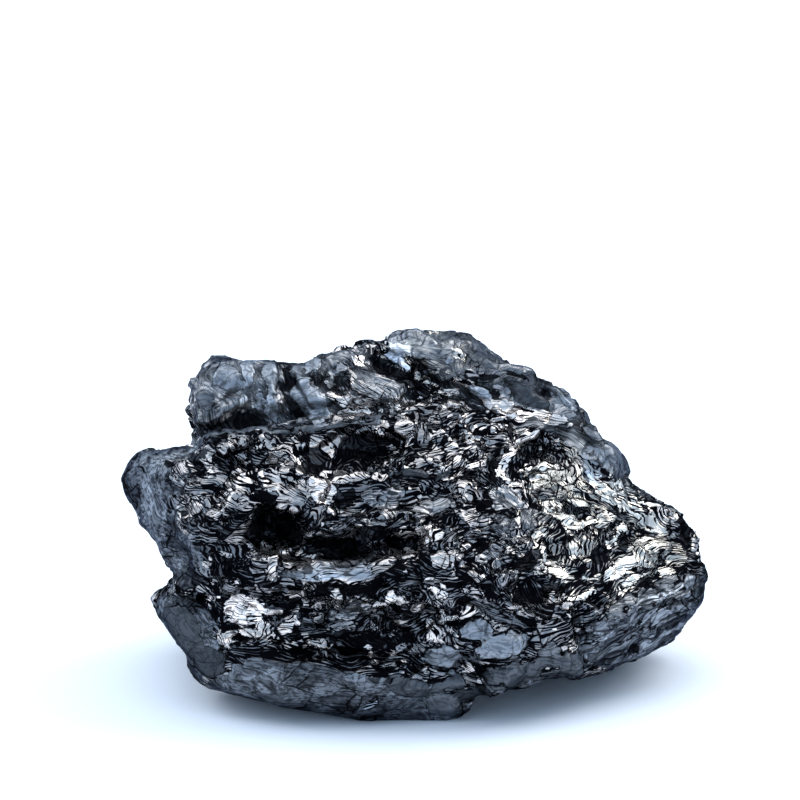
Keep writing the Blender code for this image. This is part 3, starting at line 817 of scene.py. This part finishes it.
lift = np.zeros(len(places))
laid_places = wander(places, *SHARD_BENDS) * FLATNESS
for size, step, tilt, salt in SHARDS:
    shard_lift, crack = shards(laid_places, size * MM, step, tilt, salt)
    lift += (shard_lift - CRACK_DEPTH * size * MM * crack) * broken
lift += GRAIN_HEIGHT * crust(places, GRAIN_SIZE, 70) * broken
lift += WORN_HEIGHT * crust(places * LAYER_FLATNESS, WORN_RIPPLE, 75) * calm
lift -= SOCKET_DEPTH * dark
lift += MM * np.clip(flake_depth, 0, BOSS_REACH) * (ROUGH_RISE + SMOOTH_RISE * flake_smooth)
along_ribs = places @ (np.stack([RIB_WAY, OVER_RIBS, SIGHT], axis=1) / RIB_STRETCH)
lift += RIB_HEIGHT * crust(along_ribs, RIB_SPACING, 80, 2) * ribbed
broken_places = places + normals * lift[:, None]
broken_places[:, 2] = np.maximum(broken_places[:, 2], 0)  # the floor's height
write_places(skin.data, broken_places)
print("lift:", round(lift.min() / MM, 2), "to", round(lift.max() / MM, 2), "mm")

# %% [markdown]
# ## Numbers for the finish
# A material can't see a list of ovals. It can read an attribute: a number, or a
# direction, that the mesh keeps for every point. The zones, the flakes and the
# streaks' direction are handed over in that way, so the finish knows where it is
# without any picture. So is the way outwards, softened until single shards no
# longer turn it, which the streaks need to run on from one shard to the next.

# %% Attributes
SWIRL_SIZE = 16 * MM
FLAKE_PULL = 2  # how strongly a long flake turns the streaks its own way
OUTWARD_ROUNDS = 40

# the mask of painted shade and dull spots goes over with the zones
zones = {"calm": calm, "bright": bright, "dark": dark, "dusty": dusty, "ribbed": ribbed}
zones["placed"] = facing(normals, SEEN_WRAP)  # where flakes are written down
zones.update({"flake": flake_depth, "flake_tone": flake_tone, "flake_smooth": flake_smooth})
for name, values in zones.items():
    attribute = skin.data.attributes.new(name, "FLOAT", "POINT")
    attribute.data.foreach_set("value", values.astype(np.float32))
swirl = np.stack([ripple(places, SWIRL_SIZE, salt) for salt in (41, 42, 43)], axis=1)
swirl = swirl / np.linalg.norm(swirl, axis=1, keepdims=True)
lay = flow(places, swirl) + FLAKE_PULL * flake_run
outward = soften(normals, edges, halfway, OUTWARD_ROUNDS)
for name, values in {"lay": lay, "outward": outward}.items():
    attribute = skin.data.attributes.new(name, "FLOAT_VECTOR", "POINT")
    attribute.data.foreach_set("vector", values.astype(np.float32).ravel())
skin.data.shade_smooth()
print("attributes:", ", ".join(zones), "and the directions lay and outward")

# %% [markdown]
# ## The finish, step by step
# Shungite shines almost like a metal, but in flakes: one is silver, the next is dull
# grey, and the cracks between them are black. A metal's colour is the light that it
# throws back. So one number for each place, its tone, decides nearly everything:
# the base colour runs from black to pale silver by it, and the roughness follows.
# The next cells work out that tone from noise and cells in space, because those have
# no seams and no size at which they blur. First come short names for the nodes.

# %% Start the material
material = bpy.data.materials.new("shungite")
material.use_nodes = True
tree = material.node_tree
shader = tree.nodes["Principled BSDF"]


def add_node(kind, sockets=(), **settings):
    """One node. Settings are its own choices, and sockets pairs a socket with its value or link."""
    made = tree.nodes.new(kind)
    for name, value in settings.items():
        setattr(made, name, value)
    for socket, value in sockets:
        if isinstance(value, bpy.types.NodeSocket):
            tree.links.new(value, made.inputs[socket])
        else:
            made.inputs[socket].default_value = value
    return made


print("material:", material.name)

# %% Sums with numbers
def sums(operation, first, *others):
    """Numbers put together by a Math node, two at a time."""
    for other in others:
        pair = [(0, first), (1, other)]
        first = add_node("ShaderNodeMath", pair, operation=operation).outputs[0]
    return first


def times(*values):
    """The values multiplied."""
    return sums("MULTIPLY", *values)


def plus(*values):
    """The values added."""
    return sums("ADD", *values)


def less(first, second):
    """The first less the second."""
    return sums("SUBTRACT", first, second)


def most(*values):
    """The largest of the values."""
    return sums("MAXIMUM", *values)


def eased(value, low, high, start=0.0, end=1.0):
    """Start below low, end above high, eased between."""
    spans = [("From Min", low), ("From Max", high), ("To Min", start), ("To Max", end)]
    sockets = [("Value", value), *spans]
    return add_node("ShaderNodeMapRange", sockets, interpolation_type="SMOOTHSTEP").outputs[0]


def unsigned(value):
    """The value without its sign."""
    return add_node("ShaderNodeMath", [(0, value)], operation="ABSOLUTE").outputs[0]


def mixed(share, one, other):
    """A number between two: one where the share is 0, the other where it is 1."""
    return add_node("ShaderNodeMix", [(0, share), (2, one), (3, other)], data_type="FLOAT").outputs[0]


print("sums: times, plus, less, most, eased, unsigned, mixed")

# %% Sums with directions and colours
def vectors(operation, *values, answer=0):
    """A Vector Math node's answer: 0 is a vector, 1 a number."""
    return add_node("ShaderNodeVectorMath", enumerate(values), operation=operation).outputs[answer]


def scaled(vector, by):
    """A vector made longer or shorter."""
    return add_node("ShaderNodeVectorMath", [(0, vector), ("Scale", by)], operation="SCALE").outputs[0]


def centred(color):
    """A colour as a direction: each of its numbers less a half."""
    return vectors("SUBTRACT", color, (0.5, 0.5, 0.5))


def parts_of(color):
    """A colour's three numbers."""
    return add_node("ShaderNodeSeparateColor", [(0, color)]).outputs


def mixed_color(share, one, other):
    """A colour between two."""
    return add_node("ShaderNodeMix", [(0, share), (6, one), (7, other)], data_type="RGBA").outputs[2]


def named(name, answer="Fac"):
    """What the skin's attribute of this name says."""
    return add_node("ShaderNodeAttribute", (), attribute_name=name).outputs[answer]


print("for vectors and colours: vectors, scaled, centred, parts_of, mixed_color, named")

# %% Noise and cells
def noise(vector, size, detail=2.0, color=False):
    """Noise whose waves are about this long."""
    sockets = [("Vector", vector), ("Scale", 1 / size), ("Detail", detail)]
    return add_node("ShaderNodeTexNoise", sockets).outputs[1 if color else 0]


def bend(vector, size, far, detail=1.0):
    """The vector moved about by up to half of far."""
    return vectors("ADD", vector, scaled(centred(noise(vector, size, detail, color=True)), far))


def cells(vector, size, metric="EUCLIDEAN"):
    """Cells of this size: colour and distance of the nearest, and the way from its middle."""
    sockets = [("Vector", vector), ("Scale", 1 / size)]
    near = add_node("ShaderNodeTexVoronoi", sockets, feature="F1", distance=metric)
    way = vectors("SUBTRACT", vector, near.outputs["Position"])
    return near.outputs["Color"], near.outputs["Distance"], way


def slope(color, way):
    """Each cell's own slope: its colour, as a direction, times the way from its middle."""
    return vectors("DOT_PRODUCT", centred(color), way, answer=1)


print("patterns: noise, bend, cells, slope")

# %% [markdown]
# ## Plates and chips
# The rock breaks into plates a few millimetres wide, and the plates into chips half
# that size. Both are cells whose space is bent first, because straight cell walls
# look like cut glass. The plates lie a little flat, as the layers of the rock do.
# Chips use the distance that gives square cells, which is nearer to splinters. A
# cell's colour is three numbers of chance: one for its shine, one for tearing the
# borders of the zones, and one for rough edges.

# %% Plates and chips
PLATE = 3.2 * MM
CHIP = 1.4 * MM
LAID_TURN = (0.22, 0.1, 0)  # how the layers of the rock are tipped
LAID_FLAT = (0.85, 0.85, 1.3)
PLATE_BEND = (5 * MM, 4 * MM)  # size of the walls' bends, and how far they go
CHIP_BEND = (1.5 * MM, 0.7 * MM, 0.0)  # and without finer waves

place = add_node("ShaderNodeTexCoord").outputs["Object"]
laid = add_node("ShaderNodeMapping", [(0, place), ("Rotation", LAID_TURN), ("Scale", LAID_FLAT)])
bent = bend(laid.outputs[0], *PLATE_BEND)
curled = bend(bent, *CHIP_BEND)
plate_color, _, plate_way = cells(bent, PLATE)
chip_color, chip_far, chip_way = cells(curled, CHIP, "CHEBYCHEV")
plate, chip = parts_of(plate_color), parts_of(chip_color)
walls = [("Vector", bent), ("Scale", 1 / PLATE)]
edge = add_node("ShaderNodeTexVoronoi", walls, feature="DISTANCE_TO_EDGE").outputs[0]
print("plates", PLATE / MM, "mm, chips", CHIP / MM, "mm")

# %% [markdown]
# ## Torn borders of the zones
# On the stone a zone doesn't fade out. It ends along the edges of whole plates. So
# each plate's chance is added to the zone's soft number, and the sum is cut at one
# height: a plate is either in the zone or out of it. A slow wash and a band of
# crushed rock, where the chips show and the plates don't, come from plain noise.

# %% Zones in the finish
PLATE_TEAR, CHIP_TEAR = 0.7, 0.25  # how far chance moves a border
ZONE_CUT = (0.44, 0.48)
CALM_CUT, CALM_TEAR = (0.44, 0.50), 0.5
WASH_SIZE = 4.5 * MM
CRUSHED_SIZE, CRUSHED_CUT, CRUSHED_TEAR = 9 * MM, (0.5, 0.52), 0.15

torn = times(less(plate[1], 0.5), PLATE_TEAR)
ragged = plus(torn, times(less(chip[2], 0.5), CHIP_TEAR))
bright_zone = eased(plus(named("bright"), ragged), *ZONE_CUT)
# painted shade in the hollows, with a few dull spots, torn along the plates
shade_and_dull_zone = eased(plus(named("dark"), ragged), *ZONE_CUT)
calm_zone = eased(plus(named("calm"), times(ragged, CALM_TEAR)), *CALM_CUT)
wash = noise(place, WASH_SIZE)
crushed = eased(plus(noise(place, CRUSHED_SIZE, 0), times(torn, CRUSHED_TEAR)), *CRUSHED_CUT)
crushed = times(crushed, less(1.0, bright_zone))
print("nodes with the zones:", len(tree.nodes))

# %% [markdown]
# ## Streaks
# Each plate shows its thin layers as streaks: a fifth of a millimetre wide and many
# times as long. A wave texture gives stripes that are all alike. Noise drawn out
# along one direction gives rods, and a rod that meets a bumpy skin shows only as a
# blob. So the noise is drawn out in two directions, along the streak and into the
# stone, and what is left are sheets, which show as long lines on any bump. The
# streaks' direction is the skin's own, plus a turn that each plate adds by chance.
# Longer and broader ones make the ribs of the flank.

# %% Streaks
STREAK_WIDTH = 0.19 * MM
STREAK_LENGTH = 3.4 * MM
RIB_WIDTH = 0.55 * MM
RIB_LENGTH = 7 * MM
PLATE_TURN, CHEEK_TURN = 0.65, 0.6  # how far each plate turns its streaks
PLATE_CURL, CHEEK_CURL = 0.4, 0.8  # how far the chips' bends curl them
CHEEK_FINER = 1.25  # times as fine in the bright places
SPECK = 0.5 * MM  # of the grain


def streaks(way, over, start, width, length, finer):
    """Noise in thin layers: the way's part over them keeps its length, the rest is shortened."""
    kept = scaled(over, times(vectors("DOT_PRODUCT", way, over, answer=1), 1 - width / length))
    where = scaled(vectors("ADD", scaled(way, width / length), kept), finer)
    return noise(vectors("ADD", where, start), width, 1.0)


own_turn = scaled(centred(plate_color), mixed(bright_zone, PLATE_TURN, CHEEK_TURN))
along_layers = vectors("ADD", named("lay", "Vector"), own_turn)
over_layers = vectors("CROSS_PRODUCT", along_layers, named("outward", "Vector"))
over_layers = vectors("NORMALIZE", over_layers)
curl = scaled(vectors("SUBTRACT", curled, bent), mixed(bright_zone, PLATE_CURL, CHEEK_CURL))
curled_way = vectors("ADD", plate_way, curl)
finer = mixed(bright_zone, 1.0, CHEEK_FINER)
streak = streaks(curled_way, over_layers, plate_color, STREAK_WIDTH, STREAK_LENGTH, finer)
groove = streaks(curled, tuple(OVER_RIBS), (0, 0, 0), RIB_WIDTH, RIB_LENGTH, 1.0)
grain = noise(curled, SPECK, 3)
print("streaks", STREAK_WIDTH / MM, "by", STREAK_LENGTH / MM, "mm")

# %% [markdown]
# ## Edges of the placed flakes
# The skin carries the depth inside each written flake. Noise is added to it, more
# for a rough flake than for a smooth one, and the flake is what is over 0. The same
# number gives the thin black line round it.

# %% Placed flakes
# depths in mm, as the skin carries them
EDGE_WAVE, EDGE_UNEVEN = 1.3 * MM, 0.8  # size of the edge's waves, and how far they go
ROUGH_CHIPPING, SMOOTH_CHIPPING = 0.5, 0.3  # how far the chips move the edge
EDGE = (-0.02, 0.02)
BORDER_OUTSIDE = 0.03  # how far outside the edge the black line's middle is
BORDER = (0.02, 0.12)  # from there: where black ends, and where it is all clear

flake_is_smooth = named("flake_smooth")
uneven = times(less(noise(curled, EDGE_WAVE, 1), 0.5), EDGE_UNEVEN)
chipped = times(less(chip[2], 0.5), mixed(flake_is_smooth, ROUGH_CHIPPING, SMOOTH_CHIPPING))
depth = plus(named("flake"), uneven, chipped)
inside = eased(depth, *EDGE)
border = eased(unsigned(plus(depth, BORDER_OUTSIDE)), *BORDER)
outside = less(1.0, inside)
smooth_flake = times(flake_is_smooth, inside)
print("nodes with the placed flakes:", len(tree.nodes))

# %% [markdown]
# ## Tone of the broken rock
# A plate's luck is its first number of chance. A lucky plate is brighter, and more
# of its streaks catch the light. Raising luck to a power makes silver plates few and
# grey ones many, as on the stone. In a written flake the tone comes from its row.
# Plate edges and flake borders are black, and a few chips are bright sparks.

# %% Luck and streaks of flakes and plates
# a range is where it starts and ends, and then its answer at both
CHEEK_LUCK, CHEEK_WASH = 0.45, (0.35, 0.65, 0.0, 0.6)  # from the plate, and from the wash
SEEN_LUCK = 0.82  # plates between written flakes are a little duller
PLATE_CUT, LUCKY_CUT = 0.64, 0.22  # noise over this is a streak, and luck lowers it
FLAKE_CUT, PALE_CUT = 0.525, 0.09  # the same in a written flake, where its tone lowers it
STREAK_EDGE = (-0.02, 0.02)
SMOOTH_STREAKS = (0.3, 0.42, 0.75, 1.0)

cheek_luck = plus(times(plate[0], CHEEK_LUCK), eased(wash, *CHEEK_WASH))
luck = mixed(bright_zone, mixed(crushed, plate[0], chip[0]), cheek_luck)
luck = times(luck, mixed(named("placed"), 1.0, SEEN_LUCK))
flake_cut = less(FLAKE_CUT, times(named("flake_tone"), PALE_CUT))
cut = mixed(inside, less(PLATE_CUT, times(luck, LUCKY_CUT)), flake_cut)
line = eased(less(streak, cut), *STREAK_EDGE)
line = most(line, times(smooth_flake, eased(streak, *SMOOTH_STREAKS)))
print("nodes with the streaks' lines:", len(tree.nodes))

# %% Tone of flakes and plates
LUCK_POWER, FLAKE_POWER = 2.2, 1.7
PLATE_SHINE, CHEEK_SHINE, LEAST_SHINE = 0.85, 0.95, 0.11
RIM, FLAKE_RIM = (0.012, 0.045), 0.6  # a plate's edge, in its widths, and its tone in a flake
SPARK_CHANCE, SPARK_REACH, SPARK_TONE = (0.9, 0.91), (0.14, 0.2, 1.0, 0.0), 0.8

plate_shine = times(sums("POWER", luck, LUCK_POWER), mixed(bright_zone, PLATE_SHINE, CHEEK_SHINE))
plate_shine = plus(plate_shine, LEAST_SHINE)
shine = mixed(inside, plate_shine, sums("POWER", named("flake_tone"), FLAKE_POWER))
rim = times(eased(edge, *RIM, mixed(inside, 0.0, FLAKE_RIM), 1.0), border)
spark = times(eased(chip[1], *SPARK_CHANCE), eased(chip_far, *SPARK_REACH))
spark = times(spark, less(1.0, most(inside, named("dusty"))))
broken_tone = most(times(line, shine, rim), times(spark, SPARK_TONE))
print("nodes with the broken rock's tone:", len(tree.nodes))

# %% [markdown]
# ## Tone of the worn and dusty rock
# Where the stone has rubbed smooth the flakes are gone. What is left is an even
# grey with fine scratches along the streaks, pits, and a cloudy wash. The dusty mass
# behind the crest is paler and softer, with the plates just showing through. Both
# are mixed in only outside the written flakes. Last, painted shade turns the
# sockets, hollows and grooves nearly black, and so do a few dull spots.

# %% Tone of worn and dusty rock
# ranges as before, and for chips and plates: what their chance adds, and the least
FINE_SCRATCHES, DEEP_SCRATCHES = (0.40, 0.45, 0.45, 1.0), (0.29, 0.32, 0.3, 1.0)
WORN_CRACKS = (0.44, 0.50)  # of the wash, under which plate edges show
CLOUD, CHIP_TONES, WORN_PITS = (0.3, 0.7, 0.06, 0.24), (0.9, 0.5), (0.43, 0.53, 0.4, 1.15)
DUST, PLATE_TONES, DUST_STREAKS = (0.34, 0.64, 0.02, 0.42), (0.8, 0.6), (0.38, 0.48, 0.45, 1.1)

scratch = times(eased(streak, *FINE_SCRATCHES), eased(streak, *DEEP_SCRATCHES))
cracked = most(rim, eased(wash, *WORN_CRACKS))
cloud = times(eased(wash, *CLOUD), plus(times(chip[0], CHIP_TONES[0]), CHIP_TONES[1]))
rubbed_tone = times(cloud, scratch, cracked, eased(grain, *WORN_PITS))
dust_tone = times(eased(wash, *DUST), plus(times(plate[0], PLATE_TONES[0]), PLATE_TONES[1]))
dust_tone = times(dust_tone, eased(streak, *DUST_STREAKS))
print("nodes with the worn and dusty tones:", len(tree.nodes))

# %% The whole tone
DUSTY_COVER = 0.8  # how much of the broken tone the dust hides
PITTED, FLAKE_PITS = 0.6, (0.42, 0.52, 0.4, 1.12)  # how much of a smooth flake's tone has pits
RIB_TONES = (0.42, 0.49, 0.3, 1.45)
SHADE_AND_DULL_TONE = 0.08

tone = mixed(times(named("dusty"), DUSTY_COVER, outside), broken_tone, dust_tone)
tone = mixed(times(calm_zone, outside), tone, rubbed_tone)
tone = times(tone, mixed(times(smooth_flake, PITTED), 1.0, eased(grain, *FLAKE_PITS)))
tone = times(tone, mixed(named("ribbed"), 1.0, eased(groove, *RIB_TONES)))
# painted shade: the hollows, sockets and grooves, and a few dull spots, go nearly black
tone = times(tone, mixed(times(shade_and_dull_zone, outside), 1.0, SHADE_AND_DULL_TONE))
print("nodes with every tone:", len(tree.nodes))

# %% [markdown]
# ## Colour, shine and relief
# Shungite has hardly any colour of its own: dull parts are a cool blue-grey, and
# the brightest flakes a warm silver. The tints do that by tone. Metallic is nearly 1,
# and a dark specular tint keeps the edges of the stone from glowing, as a real
# flaked edge doesn't. The relief is only the finest: each plate's slope, the
# streaks' ridges, the ribs' grooves and the step at a flake's edge.

# %% Colour and shine
COOL, WARM = (0.79, 0.85, 0.95, 1), (0.98, 0.89, 0.84, 1)
CHEEK_SILVER = (1.0, 0.94, 0.86, 1)
WORN_BLUE = (0.80, 0.87, 0.98, 1)
CRACK_BLACK = (0.002, 0.002, 0.003, 1)
CRACK_ROUGHNESS, BRIGHT_ROUGHNESS, WORN_ROUGHNESS = 0.5, 0.25, 0.42
METAL = 0.95
EDGE_TINT = (0.25, 0.28, 0.34, 1)
WARM_TONES, SILVER_TONES, SHINY_TONES = (0.05, 0.6), (0.08, 0.35), (0.0, 0.3)

tint = mixed_color(eased(tone, *WARM_TONES), COOL, WARM)
tint = mixed_color(times(bright_zone, eased(tone, *SILVER_TONES)), tint, CHEEK_SILVER)
tint = mixed_color(most(calm_zone, smooth_flake), tint, WORN_BLUE)
tree.links.new(mixed_color(tone, CRACK_BLACK, tint), shader.inputs["Base Color"])
roughness = eased(tone, *SHINY_TONES, CRACK_ROUGHNESS, BRIGHT_ROUGHNESS)
roughness = mixed(most(calm_zone, smooth_flake), roughness, WORN_ROUGHNESS)
tree.links.new(roughness, shader.inputs["Roughness"])
shader.inputs["Metallic"].default_value = METAL
shader.inputs["Specular Tint"].default_value = EDGE_TINT
print("roughness:", BRIGHT_ROUGHNESS, "bright,", WORN_ROUGHNESS, "worn,", CRACK_ROUGHNESS, "in cracks")

# %% Relief
STREAK_RISE = 0.05 * MM
RIB_RISE = 0.1 * MM
FLAKE_RISE = 0.06 * MM
GROOVE, FLAKE_STEP = (0.36, 0.52), (-0.05, 0.15)  # in the noise, and in mm of depth
TILT = 0.5  # how much of a plate's slope shows
CHEEK_QUIET, QUIETED = 0.5, 0.5  # how worn the cheek counts, and what wear takes away

tilts = mixed(crushed, slope(plate_color, plate_way), slope(chip_color, chip_way))
quiet = most(named("calm"), times(bright_zone, CHEEK_QUIET), smooth_flake)
rise = times(tilts, less(TILT, times(quiet, QUIETED)))
rise = plus(rise, times(streak, STREAK_RISE))
rise = plus(rise, times(eased(groove, *GROOVE), named("ribbed"), RIB_RISE))
rise = plus(rise, times(eased(depth, *FLAKE_STEP), FLAKE_RISE))
bump = add_node("ShaderNodeBump", [("Height", rise), ("Distance", 1.0), ("Strength", 1.0)])
tree.links.new(bump.outputs[0], shader.inputs["Normal"])
skin.data.materials.append(material)
print("nodes in the finish:", len(tree.nodes))

# %% [markdown]
# ## Floor
# The stone lies on a sheet of matt white paper, which runs on past the frame, so
# that it shows no edge. One large square does that. The paper is a touch blue, as
# white paper is under a cool sky. It isn't part of the stone.

# %% Floor
FLOOR_REACH = 3.0  # metres from the middle to each side
PAPER_BLUE_WHITE = (0.89, 0.92, 0.98, 1)


def paper():
    """Matt white paper, a touch blue."""
    sheet = bpy.data.materials.new("paper")
    sheet.use_nodes = True
    inputs = sheet.node_tree.nodes["Principled BSDF"].inputs
    inputs["Base Color"].default_value = PAPER_BLUE_WHITE
    inputs["Roughness"].default_value = 0.8
    inputs["Specular IOR Level"].default_value = 0.2
    return sheet


corners = np.array([[-1, -1, 0], [1, -1, 0], [1, 1, 0], [-1, 1, 0]]) * FLOOR_REACH
floor_mesh = bpy.data.meshes.new("floor")
floor_mesh.from_pydata(corners.tolist(), [], [[0, 1, 2, 3]])
floor = new_piece("floor", floor_mesh)
floor.data.materials.append(paper())
print("floor:", 2 * FLOOR_REACH, "m square")

# %% [markdown]
# ## Light
# A shiny black stone shows its surroundings more than its own colour. A pale blue
# room on all sides gives the flakes something to throw back. A wide warm ceiling
# light from a little behind makes the soft shadow in front of the foot. A softbox on
# the right brightens the cheek, and a weak one on the left clears the floor beside
# the nose. Small hard lamps would put a white point on every flake, so all of these
# are wide.

# %% Room
ROOM_BLUE = (0.58, 0.77, 1.0, 1)
ROOM_STRENGTH = 1.07

room = bpy.data.worlds.new("pale_room")
bpy.context.scene.world = room
room.use_nodes = True
glow = room.node_tree.nodes["Background"].inputs
glow["Color"].default_value = ROOM_BLUE
glow["Strength"].default_value = ROOM_STRENGTH
bpy.context.scene.view_settings.view_transform = "Standard"
print("room:", room.name, "of strength", ROOM_STRENGTH)

# %% Lamps
def light(name, kind, place, power, color, **settings):
    """A light of this kind that looks at the stone."""
    lamp = bpy.data.lights.new(name, kind)
    lamp.energy = power
    lamp.color = color
    for setting, value in settings.items():
        setattr(lamp, setting, value)
    holder = bpy.data.objects.new(name, lamp)
    bpy.context.scene.collection.objects.link(holder)
    holder.location = place
    towards = Vector((0, 0, 20 * MM)) - Vector(place)
    holder.rotation_euler = towards.to_track_quat("-Z", "Y").to_euler()
    print(name + ":", kind.lower(), "power", power)


light("ceiling", "SUN", (-0.10, 0.10, 0.50), 1.5, (1.0, 0.97, 0.92), angle=math.radians(90))
light("softbox", "AREA", (0.42, 0.14, 0.45), 2.2, (1.0, 0.98, 0.93), size=0.40)
light("left_fill", "AREA", (-0.35, 0.12, 0.20), 0.6, (0.9, 0.95, 1.0), size=0.30)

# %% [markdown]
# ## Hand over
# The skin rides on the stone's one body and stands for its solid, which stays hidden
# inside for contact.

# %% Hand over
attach(skin, "root")
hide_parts("shungite_stone")
